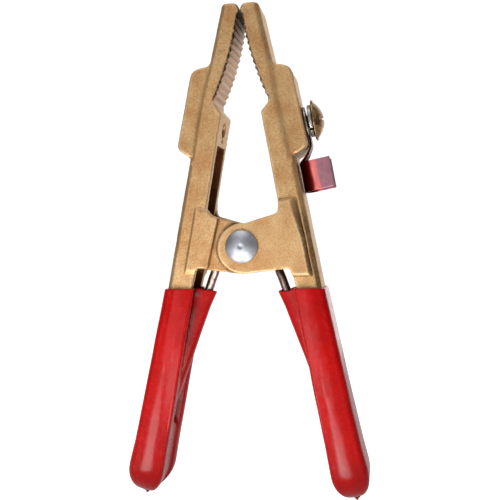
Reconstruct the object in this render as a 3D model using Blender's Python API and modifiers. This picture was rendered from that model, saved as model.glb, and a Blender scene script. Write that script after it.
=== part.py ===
"""Spring ground clamp for welding: two cast brass levers on a rivet, closed by a torsion spring.

Lengths are in millimetres and are scaled to metres as each mesh is made. Shapes are drawn round
the hinge, whose axis runs along Y. X points to the right lever and Z to the jaw tips. The left
lever and grip are the right ones turned half round about Z.
"""

from math import atan2, cos, hypot, pi, radians, sin, sqrt, tan

import bmesh
import bpy
from mathutils import Matrix, Vector

MM = 0.001

# Overall
TIP_HEIGHT = 110.4        # jaw tips above the hinge
GRIP_END_DEPTH = 116.6    # lowest point of the grips below the hinge
HINGE_HEIGHT = (GRIP_END_DEPTH - TIP_HEIGHT) / 2
LEVER_HALF_DEPTH = 12.0
WALL = 4.0                # channel flanges
EDGE_BEVEL = 2.0
GAP = 0.3                 # between neighbouring pieces

# Ears, as distances from the middle plane
OUTER_EAR = (10.8, 14.3)
INNER_EAR = (7.2, 10.5)
RAISED_WEB = (8.6, 12.8)   # joins an inner ear to its lever's flange
EAR_RADIUS = 11.3
EAR_DROP = 0.7            # the ear's round sits this far below the hinge

# Hinge
SHANK_RADIUS = 4.0
HINGE_HOLE_RADIUS = 4.25
RIVET_HEAD_RADIUS = 7.45
RIVET_HEAD_HEIGHT = 3.5
BUSH_RADIUS = 6.2

# Torsion spring
WIRE_RADIUS = 2.0
COIL_RADIUS = 8.6
COIL_PITCH = 4.1
COIL_TURNS_OVER_TOP = 2
LEG_ANGLE = radians(20.6)
LEG_OFFSET = 9.9          # from the hinge to each leg's line
LEG_SIDE = 1.5            # sideways, where a leg leaves the coil
LEG_END_DEPTH = 84.0

# Jaw teeth
TOOTH_PITCH = 2.85
TOOTH_DEPTH = 1.0
FACE_TOP = (0.3, 106.4)
FACE_SLOPE = 0.14
FACE_CURVE = 0.004
FACE_LENGTH = 40.0

# Terminal
SHOULDER_ANGLE = radians(11.4)
SHOULDER_POINT = (27.45, 58.8)
SCREW_ANGLE = radians(8.5)
SCREW_POINT = (27.75, 57.0)
TERMINAL_HOLE_RADIUS = 3.5
SCREW_RADIUS = 3.2
SCREW_HEAD_RADIUS = 9.45
SCREW_HEAD_HEIGHT = 4.9
WASHER_RADIUS = 7.45
WASHER_HOLE_RADIUS = 4.3
WASHER_SEAT = 2.1          # above the screw point
WASHER_THICKNESS = 1.8
LUG_THICKNESS = 1.0
LUG_RING_RADIUS = 7.0
BARREL_RADIUS = 6.0       # middle of the sheet
BARREL_START = -20.2      # below the terminal, along the shoulder
BARREL_LENGTH = 13.8
BARREL_FLOOR = -5.9       # behind the shoulder's face
BARREL_HEIGHT = 13.9
BAR_ANGLE = radians(10.1)  # the bar's outer face below the shoulder

# Grips
MOUTH_DEPTH = 18.9
SLEEVE_WALL = 1.0
GRIP_HALF_DEPTH = 13.6
GRIP_BULGE = 0.8
FILM_HALF_WIDTH = 6.9     # the film between the flanges
RIDGE_HALF_WIDTH = 4.6    # where the film tents over the wire
ROUND_START = 101.8
ROUND_LENGTH = 12.8
END_TILT = 0.21           # the closed end lies square to the handle


def clear_scene():
    """Remove every object that the file holds."""
    for item in list(bpy.data.objects):
        bpy.data.objects.remove(item, do_unlink=True)


def new_collection(name):
    """Make a collection in the scene."""
    group = bpy.data.collections.new(name)
    bpy.context.scene.collection.children.link(group)
    return group


def new_material(name, color, roughness, metallic):
    """Make a Principled material."""
    material = bpy.data.materials.new(name)
    material.use_nodes = True
    shader = material.node_tree.nodes["Principled BSDF"]
    shader.inputs["Base Color"].default_value = (*color, 1.0)
    shader.inputs["Roughness"].default_value = roughness
    shader.inputs["Metallic"].default_value = metallic
    return material


def new_object(name, data, group, parent=None, material=None):
    """Put a mesh, curve or empty in a collection."""
    item = bpy.data.objects.new(name, data)
    group.objects.link(item)
    item.parent = parent
    if material:
        data.materials.clear()
        data.materials.append(material)
    return item


def as_cutter(item):
    """Show a cutting tool as wire only."""
    item.hide_render = True
    item.display_type = "WIRE"
    return item


def evaluated_mesh(item):
    """A new mesh of an object as it stands, with its modifiers or its bevel applied."""
    bpy.context.view_layer.update()
    graph = bpy.context.evaluated_depsgraph_get()
    return bpy.data.meshes.new_from_object(item.evaluated_get(graph))


def shade_round(mesh, angle=35):
    """Smooth shading that keeps edges sharper than the angle."""
    mesh.shade_smooth()
    mesh.set_sharp_from_angle(angle=radians(angle))


# ---- outlines in the X-Z plane ----

def arc(centre, radius, start, end, steps):
    """Points along an arc, both ends included."""
    return [
        (centre[0] + radius * cos(start + (end - start) * i / steps),
         centre[1] + radius * sin(start + (end - start) * i / steps))
        for i in range(steps + 1)
    ]


def rounded(corners, steps=4):
    """Turn (x, z) points and (x, z, radius) corners into a closed outline with arcs."""
    points = []
    count = len(corners)
    for i, corner in enumerate(corners):
        if len(corner) == 2:
            points.append(corner)
            continue
        here = Vector(corner[:2])
        back = (Vector(corners[i - 1][:2]) - here).normalized()
        ahead = (Vector(corners[(i + 1) % count][:2]) - here).normalized()
        half = back.angle(ahead) / 2
        centre = here + (back + ahead).normalized() * (corner[2] / sin(half))
        start = here + back * (corner[2] / tan(half)) - centre
        end = here + ahead * (corner[2] / tan(half)) - centre
        begin = atan2(start.y, start.x)
        sweep = atan2(start.x * end.y - start.y * end.x, start.dot(end))
        points += arc(centre, corner[2], begin, begin + sweep, steps)
    return points


def slab(name, outline, low, high, group, parent=None):
    """A solid of an X-Z outline between two Y values."""
    curve = bpy.data.curves.new(name, "CURVE")
    curve.dimensions = "2D"
    curve.fill_mode = "BOTH"
    curve.extrude = (high - low) / 2 * MM
    spline = curve.splines.new("POLY")
    spline.points.add(len(outline) - 1)
    for point, (x, z) in zip(spline.points, outline):
        point.co = (x * MM, z * MM, 0, 1)
    spline.use_cyclic_u = True
    flat = new_object(name + "_outline", curve, group)
    mesh = evaluated_mesh(flat)
    mesh.name = name
    bpy.data.objects.remove(flat)
    bpy.data.curves.remove(curve)
    upright = Matrix.Rotation(pi / 2, 4, "X")
    mesh.transform(Matrix.Translation((0, (low + high) / 2 * MM, 0)) @ upright)
    work = bmesh.new()
    work.from_mesh(mesh)
    bmesh.ops.remove_doubles(work, verts=work.verts, dist=0.001 * MM)
    bmesh.ops.recalc_face_normals(work, faces=work.faces)
    work.to_mesh(mesh)
    work.free()
    return new_object(name, mesh, group, parent)


def turned(name, profile, group, parent=None, steps=32, closed=False):
    """A body turned about its own Z axis from (radius, height) points, top to bottom."""
    mesh = bpy.data.meshes.new(name)
    points = [(r * MM, 0, h * MM) for r, h in profile]
    edges = [(i, i + 1) for i in range(len(points) - 1)]
    if closed:
        edges.append((len(points) - 1, 0))
    mesh.from_pydata(points, edges, [])
    item = new_object(name, mesh, group, parent)
    screw = item.modifiers.new("turn", "SCREW")
    screw.steps = steps
    screw.render_steps = steps
    screw.use_merge_vertices = True
    screw.merge_threshold = 0.00001
    return item


def boolean(item, tool, operation):
    """Cut or join one object with another."""
    change = item.modifiers.new(tool.name, "BOOLEAN")
    change.operation = operation
    change.object = tool
    change.solver = "EXACT"


def aim(item, point, angle):
    """Place a turned body on an X-Z point, its axis tilted up from +X by the angle."""
    item.location = Vector((point[0], 0, point[1])) * MM
    item.rotation_euler = (0, pi / 2 - angle, 0)


def along(point, angle, out, up):
    """The X-Z point that lies out along a tilted axis and up across it."""
    return (
        point[0] + out * cos(angle) - up * sin(angle),
        point[1] + out * sin(angle) + up * cos(angle),
    )


# ---- lever casting ----

def tooth_line():
    """The toothed jaw face from its foot to the nose."""
    points = []
    count = round(2 * FACE_LENGTH / TOOTH_PITCH)
    for i in range(count + 1):
        down = FACE_LENGTH * (1 - i / count)
        x = FACE_TOP[0] + FACE_SLOPE * down + FACE_CURVE * down * down
        points.append((x + TOOTH_DEPTH * (i % 2), FACE_TOP[1] - down))
    return points


def lever_outline():
    """Jaw, shoulder, bar and handle, clockwise from the nose."""
    outer = [
        (0.2, TIP_HEIGHT, 3.0), (8.4, TIP_HEIGHT, 1.3), (14.7, 82.7, 1.0),
        (*along(SHOULDER_POINT, SHOULDER_ANGLE, 0, 22.6), 5.2),
        (*along(SHOULDER_POINT, SHOULDER_ANGLE, 0, -13.8), 3.4),
        (24.1, 40.8, 1.5), (27.8, 21.6), (31.3, 3.4), (35.4, -18.0), (46.3, -70.0),
        (53.0, -102.0, 5.0),
    ]
    inner = [
        (41.0, -102.0, 5.0), (34.0, -70.0), (24.7, -21.0), (21.8, -9.5), (16.4, 20.0),
        (9.1, 61.0, 1.3), (12.7, 65.3, 0.8),
    ]
    return rounded(outer + inner + tooth_line())


def channel_outline():
    """The hollow between the flanges, open on the inner side."""
    return rounded([
        (2.0, 46.4), (20.2, 46.4, 1.5), (23.6, 21.6), (26.6, 3.4), (30.8, -18.0),
        (41.8, -70.0), (47.6, -98.0, 3.0), (30.0, -98.0),
        (24.0, -70.0), (12.0, -20.0), (8.0, 20.0),
    ])


def ear_outline(reach):
    """An ear's round and the web that joins it to the bar, which ends at the reach points."""
    round_end = arc((0, -EAR_DROP), EAR_RADIUS, radians(258), radians(84), 17)
    return rounded([(16.4, 14.9, 2.2)] + reach + [(21.4, -9.9, 1.5), (0.2, -12.5)] + round_end)


def edge_wedge(start, end, size, side):
    """Corners of a prism that bevels an outer edge of the casting."""
    run = Vector((end[0] - start[0], 0, end[1] - start[1])).normalized()
    out = Vector((-run.z, 0, run.x))
    if out.x < 0:
        out = -out
    corners = []
    for x, z in (start, end):
        base = Vector((x, side * LEVER_HALF_DEPTH, z))
        corners.append(base + out * size - Vector((0, side * 2 * size, 0)))
        corners.append(base + out * size + Vector((0, side * size, 0)))
        corners.append(base - out * 2 * size + Vector((0, side * size, 0)))
    return corners


def edge_bevels(group, parent):
    """Cutters for the bevels along the outer edges of jaw, bar and handle."""
    runs = [
        ((8.1, 111.6), (14.4, 83.9)),
        ((24.0, 41.4), (31.6, 1.9)),
        ((31.3, 3.4), (36.2, -22.2)),
        ((35.4, -18.0), (54.3, -107.9)),
    ]
    cutters = []
    for start, end in runs:
        work = bmesh.new()
        for side in (-1, 1):
            corners = [work.verts.new(c * MM) for c in edge_wedge(start, end, EDGE_BEVEL, side)]
            bmesh.ops.convex_hull(work, input=corners)
        bmesh.ops.recalc_face_normals(work, faces=work.faces)
        mesh = bpy.data.meshes.new("edge_bevel")
        work.to_mesh(mesh)
        work.free()
        cutters.append(new_object("edge_bevel", mesh, group, parent))
    return cutters


def lever_tools(group, parent):
    """Cutting and joining tools of the lever, in the order in which they act."""
    half = LEVER_HALF_DEPTH
    over = 4.0
    panel = ear_outline([(17.0, 21.5), (24.9, 22.5), (32.0, -13.8), (23.0, -13.8)])
    inner_web = ear_outline([(18.0, 17.0), (23.2, 17.0), (27.0, -7.6), (22.0, -9.4)])
    raised_web = [(9.8, 12.6), (14.0, 14.1), (16.8, 17.6), (21.9, 18.4), (27.6, -12.6),
                  (23.2, -12.6), (21.0, -9.6), (13.6, -10.1)]
    pocket = [(-14.0, 20.0), (9.6, 20.0), (16.4, -9.8), (16.4, -16.0), (-14.0, -16.0)]
    shoulder = [(12.0, 84.5), (16.5, 68.0), (21.6, 42.0), (23.4, 38.4), (33.0, 38.4), (33.0, 84.5)]
    bore = turned("hinge_hole", [(0, 20), (HINGE_HOLE_RADIUS, 20), (HINGE_HOLE_RADIUS, -20), (0, -20)],
                  group, parent)
    bore.rotation_euler = (pi / 2, 0, 0)
    drill = turned("terminal_hole", [(0, 9), (TERMINAL_HOLE_RADIUS, 9), (TERMINAL_HOLE_RADIUS, -25),
                                     (0, -25)], group, parent, steps=24)
    aim(drill, SCREW_POINT, SCREW_ANGLE)
    punch = turned("web_dimple", [(0, 2), (1.2, 2), (1.2, -1), (0, -1.6)], group, parent, steps=12)
    aim(punch, (11.1, 49.8), SCREW_ANGLE)
    tools = [(bevel, "DIFFERENCE") for bevel in edge_bevels(group, parent)]
    tools += [
        (slab("channel", channel_outline(), WALL - half, half - WALL, group, parent), "DIFFERENCE"),
        (slab("shoulder_front", shoulder, -half - over, -half + 0.8, group, parent), "DIFFERENCE"),
        (slab("shoulder_back", shoulder, half - 0.8, half + over, group, parent), "DIFFERENCE"),
        (slab("raised_panel", panel, -OUTER_EAR[1], -OUTER_EAR[0], group, parent), "UNION"),
        (slab("raised_web", raised_web, RAISED_WEB[0], RAISED_WEB[1], group, parent), "UNION"),
        (slab("ear_pocket", pocket, 0.0, half + over, group, parent), "DIFFERENCE"),
        (slab("inner_ear", inner_web, INNER_EAR[0], INNER_EAR[1], group, parent), "UNION"),
        (bore, "DIFFERENCE"),
        (drill, "DIFFERENCE"),
        (punch, "DIFFERENCE"),
    ]
    return [(as_cutter(tool), operation) for tool, operation in tools]


def make_levers(parts, tools, left, right, brass):
    """The right lever from its tools, and the left one as the same casting turned half round."""
    lever = slab("right_lever", lever_outline(), -LEVER_HALF_DEPTH, LEVER_HALF_DEPTH, parts, right)
    lever.data.materials.append(brass)
    for tool, operation in lever_tools(tools, right):
        boolean(lever, tool, operation)
    mesh = evaluated_mesh(lever)
    mesh.name = "left_lever"
    other = new_object("left_lever", mesh, parts, left, brass)
    other.rotation_euler = (0, 0, pi)


# ---- hinge ----

def dome(radius, height, base, steps):
    """Profile of a low dome, from its top down to its rim."""
    ball = (radius * radius + height * height) / (2 * height)
    reach = atan2(radius, ball - height)
    return [
        (ball * sin(reach * i / steps), base + height - ball + ball * cos(reach * i / steps))
        for i in range(steps + 1)
    ]


def make_hinge(parts, left, steel):
    """The rivet with a head on each end, and the bush that carries the coil."""
    seat = OUTER_EAR[1] + GAP
    rim = 0.7
    upper = dome(RIVET_HEAD_RADIUS, RIVET_HEAD_HEIGHT - rim, seat + rim, 5)
    upper += [(RIVET_HEAD_RADIUS, seat), (SHANK_RADIUS, seat)]
    profile = upper + [(r, -h) for r, h in reversed(upper)]
    rivet = turned("hinge_rivet", profile, parts, left)
    rivet.rotation_euler = (pi / 2, 0, 0)
    rivet.data.materials.append(steel)
    half = INNER_EAR[0] - GAP
    inside = SHANK_RADIUS + GAP
    bush = turned("spring_bush", [(BUSH_RADIUS, half), (BUSH_RADIUS, -half), (inside, -half),
                                  (inside, half)], parts, left, closed=True)
    bush.rotation_euler = (pi / 2, 0, 0)
    bush.data.materials.append(steel)


def leg_point(depth):
    """Distance out from the middle plane of a leg's line at a depth below the hinge."""
    return LEG_OFFSET / cos(LEG_ANGLE) + depth * tan(LEG_ANGLE)


def leg_side(depth):
    """How far a leg's centre lies from the middle of its channel, at a depth below the hinge."""
    return LEG_SIDE * max(0.0, min(1.0, (LEG_END_DEPTH - depth) / (LEG_END_DEPTH - 20.0)))


def spring_path():
    """Centre line from the left leg's end, twice round the hinge and down the right leg."""
    knee = (leg_point(12.0), -12.0)
    reach = hypot(*knee)
    tangent = atan2(knee[1], knee[0]) + atan2(sqrt(reach * reach - COIL_RADIUS ** 2), COIL_RADIUS)
    sweep = pi - 2 * tangent + 2 * pi * COIL_TURNS_OVER_TOP
    half_width = COIL_PITCH * sweep / (2 * pi) / 2
    leg = [(leg_point(depth), leg_side(depth), -depth) for depth in (LEG_END_DEPTH, 52.0, 20.0)]
    leg += [(leg_point(14.5), LEG_SIDE + 0.7, -14.5), (knee[0] - 0.2, LEG_SIDE + 1.2, -12.0),
            (knee[0] - 1.3, LEG_SIDE + 1.8, -9.0)]
    left = [(-x, -y, z) for x, y, z in leg]
    right = [(x, y, z) for x, y, z in reversed(leg)]
    steps = 56
    coil = []
    for i in range(steps + 1):
        turn = pi - tangent - sweep * i / steps
        across = -half_width + 2 * half_width * i / steps
        coil.append((COIL_RADIUS * cos(turn), across, COIL_RADIUS * sin(turn)))
    return left + coil + right


def make_spring(parts, left, steel):
    """The torsion spring as one bent wire."""
    curve = bpy.data.curves.new("torsion_spring", "CURVE")
    curve.dimensions = "3D"
    curve.bevel_depth = WIRE_RADIUS * MM
    curve.bevel_resolution = 2
    curve.use_fill_caps = True
    path = spring_path()
    spline = curve.splines.new("POLY")
    spline.points.add(len(path) - 1)
    for point, (x, y, z) in zip(spline.points, path):
        point.co = (x * MM, y * MM, z * MM, 1)
    new_object("torsion_spring", curve, parts, left, steel)


# ---- grips ----

def between(table, depth):
    """Straight-line reading of a table of (depth, value) rows."""
    for (d0, v0), (d1, v1) in zip(table, table[1:]):
        if depth <= d1:
            return v0 + (v1 - v0) * (depth - d0) / (d1 - d0)
    return table[-1][1]


def smooth(value, low, high):
    """0 below low, 1 above high, with a soft change between."""
    t = min(1.0, max(0.0, (value - low) / (high - low)))
    return t * t * (3 - 2 * t)


def grip_outer(depth):
    """X of a grip's back at a depth below the hinge."""
    return between([(MOUTH_DEPTH, 36.9), (70.0, 47.9), (99.0, 54.4), (120.0, 59.0)], depth)


def grip_inner(depth):
    """X of a grip's flange edges at a depth below the hinge."""
    return between([(MOUTH_DEPTH, 22.9), (70.0, 32.2), (99.0, 38.0), (120.0, 42.2)], depth)


def grip_front(share, depth):
    """The film on the open side, which follows the wire: X at a share of the channel's half width."""
    y = share * FILM_HALF_WIDTH
    along_wire = 1 - smooth(depth, LEG_END_DEPTH - 5, LEG_END_DEPTH + 2)
    valley = 1.0 + 3.3 * along_wire
    wall = 1 - smooth(abs(y), FILM_HALF_WIDTH - 1.7, FILM_HALF_WIDTH)
    floor = grip_inner(depth) + valley * wall
    crest = leg_point(depth) - (WIRE_RADIUS + GAP + SLEEVE_WALL) / cos(LEG_ANGLE)
    ridge = max(0.0, grip_inner(depth) + valley - crest) * along_wire
    spread = min(1.0, abs(y - leg_side(depth)) / RIDGE_HALF_WIDTH)
    return floor - ridge * (1 - spread ** 2.5) ** 0.4


def grip_section(depth):
    """Closed (x, y) outline of a grip at a depth, from the back round to the open side."""
    back = grip_outer(depth)
    edge = grip_inner(depth)
    half = GRIP_HALF_DEPTH
    side = []
    for angle in (0, 30, 60):
        turn = radians(angle)
        side.append((back - 3.5 * (1 - cos(turn)), half - 3.5 * (1 - sin(turn))))
    width = back - 3.5 - edge - 1.9
    for share in (0.0, 0.33, 0.67, 1.0):
        rise = GRIP_BULGE * sin(pi * share)
        side.append((back - 3.5 - share * width, half + rise))
    for angle in (30, 60, 90):
        turn = radians(angle)
        side.append((edge + 1.9 * (1 - sin(turn)), half - 1.9 * (1 - cos(turn))))
    count = 16
    front = []
    for i in range(count + 1):
        share = 1 - 2 * i / count
        front.append((grip_front(share, depth), share * FILM_HALF_WIDTH))
    return side + front + [(x, -y) for x, y in reversed(side)]


def inset(points, distance):
    """Move a closed outline inwards by a distance."""
    moved = []
    count = len(points)
    for i, (x, y) in enumerate(points):
        ahead = points[(i + 1) % count]
        behind = points[i - 1]
        run = Vector((ahead[0] - behind[0], ahead[1] - behind[1])).normalized()
        moved.append((x - run.y * distance, y + run.x * distance))
    return moved


def end_ring(points, scale, depth):
    """Draw a section in towards the grip's middle line, and tilt it square to the handle."""
    middle = (grip_outer(depth) + grip_inner(depth)) / 2
    tilt = END_TILT * smooth(depth, 87.0, ROUND_START) * scale
    return [(middle + (x - middle) * scale, y * scale, -depth + (x - middle) * tilt)
            for x, y in points]


def grip_rings(wall, start, end):
    """Sections down one skin of a grip, and the point that closes it."""
    depths = [start, 26.0, 36.0, 50.0, 64.0, 78.0, 82.0, 87.0, 95.0]
    rings = [end_ring(inset(grip_section(depth), wall), 1.0, depth) for depth in depths]
    for share in (0.0, 0.3, 0.55, 0.75, 0.9, 0.98):
        depth = ROUND_START + (end - ROUND_START) * share
        scale = (1 - share ** 2) ** 0.5
        rings.append(end_ring(inset(grip_section(depth), wall), scale, depth))
    return rings


def skin(work, rings):
    """Join a row of sections with faces and return their corners."""
    rows = [[work.verts.new(Vector(p) * MM) for p in ring] for ring in rings]
    for upper, lower in zip(rows, rows[1:]):
        for i in range(len(upper)):
            j = (i + 1) % len(upper)
            work.faces.new((upper[i], upper[j], lower[j], lower[i]))
    return rows


def close_end(work, ring, depth):
    """Close a skin to a point on the grip's middle line."""
    middle = (grip_outer(depth) + grip_inner(depth)) / 2
    tip = work.verts.new(Vector((middle, 0, -depth)) * MM)
    for i in range(len(ring)):
        work.faces.new((ring[i], ring[(i + 1) % len(ring)], tip))


def make_grips(parts, left, right, vinyl):
    """Vinyl sleeves over the handles and the spring's legs, open at the top."""
    work = bmesh.new()
    outside = skin(work, grip_rings(0.0, MOUTH_DEPTH, ROUND_START + ROUND_LENGTH))
    inside = skin(work, grip_rings(SLEEVE_WALL, MOUTH_DEPTH, ROUND_START + ROUND_LENGTH - 2.0))
    close_end(work, outside[-1], GRIP_END_DEPTH)
    close_end(work, inside[-1], ROUND_START + ROUND_LENGTH - 2.0)
    for i in range(len(outside[0])):
        j = (i + 1) % len(outside[0])
        work.faces.new((outside[0][i], outside[0][j], inside[0][j], inside[0][i]))
    bmesh.ops.recalc_face_normals(work, faces=work.faces)
    mesh = bpy.data.meshes.new("grip")
    work.to_mesh(mesh)
    work.free()
    shade_round(mesh, 50)
    new_object("right_grip", mesh, parts, right, vinyl)
    other = new_object("left_grip", mesh, parts, left, vinyl)
    other.rotation_euler = (0, 0, pi)


# ---- terminal ----

def make_screw(parts, tools, right, bronze):
    """Truss-head terminal screw with a slot and a cross recess."""
    under = WASHER_SEAT + WASHER_THICKNESS + 0.2
    flange = 1.1
    profile = dome(SCREW_HEAD_RADIUS - 0.5, SCREW_HEAD_HEIGHT - flange, under + flange, 6)
    profile += [(SCREW_HEAD_RADIUS, under + flange - 0.3), (SCREW_HEAD_RADIUS, under + 0.2),
                (SCREW_HEAD_RADIUS - 0.3, under), (SCREW_RADIUS, under), (SCREW_RADIUS, -13.0),
                (SCREW_RADIUS - 0.8, -14.0), (0, -14.0)]
    screw = turned("terminal_screw", profile, parts, right)
    screw.data.materials.append(bronze)
    aim(screw, SCREW_POINT, SCREW_ANGLE)
    for name, size in (("screw_slot", (1.6, 24.0, 3.6)), ("screw_cross", (8.0, 1.6, 3.6))):
        mesh = bpy.data.meshes.new(name)
        work = bmesh.new()
        bmesh.ops.create_cube(work, size=1.0)
        bmesh.ops.scale(work, vec=Vector(size) * MM, verts=work.verts)
        work.to_mesh(mesh)
        work.free()
        slot = as_cutter(new_object(name, mesh, tools, right))
        aim(slot, along(SCREW_POINT, SCREW_ANGLE, under + SCREW_HEAD_HEIGHT, 0), SCREW_ANGLE)
        boolean(screw, slot, "DIFFERENCE")


def make_washer(parts, tools, right, zinc):
    """Split lock washer under the screw's head."""
    low = WASHER_SEAT
    high = low + WASHER_THICKNESS
    washer = turned("lock_washer", [(WASHER_RADIUS, high), (WASHER_RADIUS, low),
                                    (WASHER_HOLE_RADIUS, low), (WASHER_HOLE_RADIUS, high)],
                    parts, right, closed=True)
    washer.data.materials.append(zinc)
    aim(washer, SCREW_POINT, SCREW_ANGLE)
    mesh = bpy.data.meshes.new("washer_split")
    work = bmesh.new()
    bmesh.ops.create_cube(work, size=1.0)
    bmesh.ops.scale(work, vec=Vector((6.0, 1.0, 8.0)) * MM, verts=work.verts)
    bmesh.ops.rotate(work, verts=work.verts, matrix=Matrix.Rotation(radians(30), 3, "X"))
    bmesh.ops.translate(work, verts=work.verts, vec=Vector((6.0, 0, low + 1)) * MM)
    work.to_mesh(mesh)
    work.free()
    split = as_cutter(new_object("washer_split", mesh, tools, right))
    aim(split, SCREW_POINT, SCREW_ANGLE)
    boolean(washer, split, "DIFFERENCE")


def lug_rows():
    """Rows across the lug's sheet, from the ring down: (up, out, half width, bend radius)."""
    seat = GAP + LUG_THICKNESS / 2
    rows = [(-6.0, seat, 4.0, 60.0), (-11.0, seat, 4.0, 60.0), (-13.4, seat - 0.2, 4.0, 60.0),
            (-15.4, seat - 1.5, 4.2, 24.0), (-17.8, seat - 3.8, 4.6, 10.0)]
    for up in (BARREL_START, BARREL_START - BARREL_LENGTH / 2, BARREL_START - BARREL_LENGTH):
        floor = BARREL_FLOOR + (up - BARREL_START) * tan(SHOULDER_ANGLE - BAR_ANGLE)
        rows.append((up, floor, 0.0, BARREL_RADIUS))
    return rows


def across_sheet(half_width, radius, count=8):
    """(sideways, rise) points of a sheet bent round the barrel's axis, edge to edge."""
    reach = half_width / radius
    return [
        (radius * sin(reach * (2 * i / count - 1)),
         radius * (1 - cos(reach * (2 * i / count - 1))))
        for i in range(count + 1)
    ]


def make_lug(parts, tools, right, copper):
    """Open-barrel cable lug: ring, neck and a U-shaped barrel that opens outwards."""
    work = bmesh.new()
    grid = []
    for up, out, half_width, radius in lug_rows():
        if half_width:
            section = across_sheet(half_width, radius)
            section = [None, None] + section + [None, None]
        else:
            section = across_sheet(radius * pi / 2, radius, 12)
            section = [(-radius, BARREL_HEIGHT)] + section[:1] + section[2:-2] + section[-1:]
            section = section + [(radius, BARREL_HEIGHT)]
        row = []
        for point in section:
            if point is None:
                row.append(None)
                continue
            x, z = along(SHOULDER_POINT, SHOULDER_ANGLE, out + point[1], up)
            row.append(work.verts.new(Vector((x, point[0], z)) * MM))
        grid.append(row)
    for upper, lower in zip(grid, grid[1:]):
        for i in range(len(upper) - 1):
            corners = (upper[i], upper[i + 1], lower[i + 1], lower[i])
            if None not in corners:
                work.faces.new(corners)
    mesh = bpy.data.meshes.new("cable_lug")
    work.to_mesh(mesh)
    work.free()
    lug = new_object("cable_lug", mesh, parts, right, copper)
    sheet = lug.modifiers.new("sheet", "SOLIDIFY")
    sheet.thickness = LUG_THICKNESS * MM
    sheet.offset = 0
    low = GAP
    high = low + LUG_THICKNESS
    ring = turned("lug_ring", [(LUG_RING_RADIUS, high), (LUG_RING_RADIUS, low), (WASHER_HOLE_RADIUS, low),
                               (WASHER_HOLE_RADIUS, high)], tools, right, closed=True)
    aim(as_cutter(ring), along(SHOULDER_POINT, SHOULDER_ANGLE, 0, -1.9), SHOULDER_ANGLE)
    boolean(lug, ring, "UNION")


def main():
    """Build the clamp."""
    clear_scene()
    parts = new_collection("ground_clamp")
    tools = new_collection("cutters")
    brass = new_material("cast_brass", (0.58, 0.38, 0.17), 0.45, 0.9)
    steel = new_material("zinc_steel", (0.62, 0.63, 0.66), 0.3, 1.0)
    vinyl = new_material("red_vinyl", (0.6, 0.008, 0.008), 0.35, 0.0)
    bronze = new_material("bronze_screw", (0.5, 0.34, 0.17), 0.3, 1.0)
    copper = new_material("copper_lug", (0.6, 0.2, 0.2), 0.3, 1.0)
    left = new_object("left_side", None, parts)
    right = new_object("right_side", None, parts)
    for side in (left, right):
        side.location = (0, 0, HINGE_HEIGHT * MM)
    make_levers(parts, tools, left, right, brass)
    make_hinge(parts, left, steel)
    make_spring(parts, left, steel)
    make_grips(parts, left, right, vinyl)
    make_screw(parts, tools, right, bronze)
    make_washer(parts, tools, right, steel)
    make_lug(parts, tools, right, copper)


main()
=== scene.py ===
"""Looks of the ground clamp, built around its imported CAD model.

Shapes are drawn in millimetres round the hinge, as in the CAD model: X to the right lever, Y along
the hinge axis and Z to the jaw tips. The left lever's pieces are the right ones turned half round.
"""

from math import atan2, cos, hypot, pi, radians, sin, sqrt, tan

import bmesh
import bpy
import numpy as np
from mathutils import Matrix, Vector, noise


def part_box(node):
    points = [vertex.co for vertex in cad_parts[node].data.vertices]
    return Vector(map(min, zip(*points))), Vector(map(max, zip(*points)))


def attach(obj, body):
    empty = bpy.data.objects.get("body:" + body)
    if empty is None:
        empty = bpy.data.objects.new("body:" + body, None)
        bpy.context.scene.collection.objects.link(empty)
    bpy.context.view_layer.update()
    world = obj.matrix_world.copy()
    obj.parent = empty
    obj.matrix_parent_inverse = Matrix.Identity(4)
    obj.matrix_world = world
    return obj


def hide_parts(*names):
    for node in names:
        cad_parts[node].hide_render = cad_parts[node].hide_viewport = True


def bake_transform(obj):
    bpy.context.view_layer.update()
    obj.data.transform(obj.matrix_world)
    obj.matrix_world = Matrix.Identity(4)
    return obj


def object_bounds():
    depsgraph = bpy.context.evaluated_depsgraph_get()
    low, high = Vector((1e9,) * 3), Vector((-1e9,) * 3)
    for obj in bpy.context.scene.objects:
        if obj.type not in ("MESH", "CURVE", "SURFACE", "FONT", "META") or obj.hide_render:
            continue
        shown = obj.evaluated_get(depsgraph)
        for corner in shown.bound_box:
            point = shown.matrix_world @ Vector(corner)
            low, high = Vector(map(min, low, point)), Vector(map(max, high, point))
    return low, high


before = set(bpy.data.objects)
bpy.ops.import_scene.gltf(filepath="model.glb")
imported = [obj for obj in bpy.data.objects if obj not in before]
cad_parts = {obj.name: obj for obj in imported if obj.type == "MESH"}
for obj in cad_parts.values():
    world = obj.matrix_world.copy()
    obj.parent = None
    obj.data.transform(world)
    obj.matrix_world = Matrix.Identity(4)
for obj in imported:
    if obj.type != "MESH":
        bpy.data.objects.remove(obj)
cad_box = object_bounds()

MM = 0.001
HINGE_HEIGHT = 3.1        # the hinge axis above the row frame's origin

# Hinge and spring, as in the CAD model
OUTER_EAR_FACE = 14.3
INNER_EAR_FACE = 7.2
GAP = 0.3
SHANK_RADIUS = 4.0
RIVET_HEAD_RADIUS = 7.45
RIVET_HEAD_HEIGHT = 3.5
BUSH_RADIUS = 6.2
WIRE_RADIUS = 2.0
COIL_RADIUS = 8.6
COIL_PITCH = 4.1
COIL_TURNS_OVER_TOP = 2
LEG_ANGLE = radians(20.6)
LEG_OFFSET = 9.9
LEG_SIDE = 1.5
LEG_END_DEPTH = 84.0

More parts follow.
